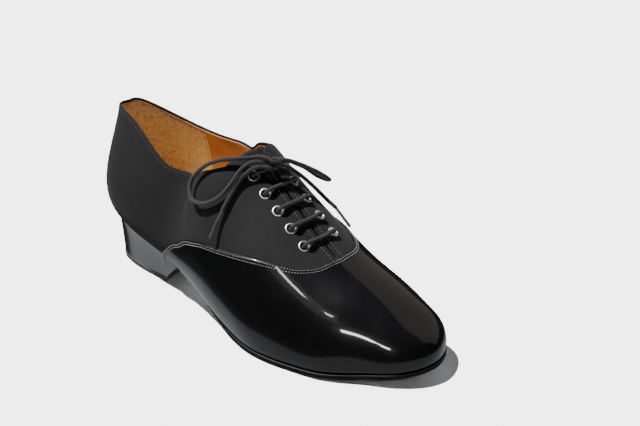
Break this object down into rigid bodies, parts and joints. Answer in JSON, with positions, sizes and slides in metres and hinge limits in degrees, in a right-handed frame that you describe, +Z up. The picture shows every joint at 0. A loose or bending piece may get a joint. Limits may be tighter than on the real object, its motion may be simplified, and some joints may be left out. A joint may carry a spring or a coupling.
{
  "type": "ballroom dance shoe",
  "caption": "Low lace-up ballroom dance shoe for the right foot: matt quarters over a glossy winged vamp, open collar, thin sole and block heel.",
  "frame": {"origin": "middle of the heel's tread, on the floor", "axes": "+X to the toe, +Y to the inner side of the right foot, +Z up"},
  "size_m": [0.284, 0.102, 0.1228],
  "materials": {
    "nubuck": "matt black nubuck",
    "patent": "high gloss black patent",
    "patent_strip": "high gloss black patent",
    "tongue_nubuck": "matt black nubuck",
    "insole_leather": "smooth tan leather",
    "sole_edge": "dark grey edge, matt",
    "heel_cover": "glossy black cover",
    "tip_rubber": "dark grey, matt",
    "eyelet_metal": "silver, polished",
    "lace": "matt charcoal cord",
    "aglet_plastic": "gloss black"
  },
  "bodies": {
    "root": {"upper": "nubuck", "vamp": "patent", "back_strip": "patent_strip", "tongue": "tongue_nubuck", "insole": "insole_leather", "outsole": "sole_edge", "heel": "heel_cover", "top_piece": "tip_rubber", "eyelet_outer_1": "eyelet_metal", "eyelet_inner_1": "eyelet_metal", "eyelet_outer_2": "eyelet_metal", "eyelet_inner_2": "eyelet_metal", "eyelet_outer_3": "eyelet_metal", "eyelet_inner_3": "eyelet_metal", "eyelet_outer_4": "eyelet_metal", "eyelet_inner_4": "eyelet_metal", "eyelet_outer_5": "eyelet_metal", "eyelet_inner_5": "eyelet_metal", "lace_bar_1": "lace", "lace_bar_2": "lace", "lace_bar_3": "lace", "lace_bar_4": "lace", "lace_bar_5": "lace", "lace_knot": "lace", "lace_loop_near": "lace", "lace_loop_far": "lace", "lace_end_near": "lace", "lace_end_far": "lace", "aglet_near": "aglet_plastic", "aglet_far": "aglet_plastic"}
  },
  "joints": []
}
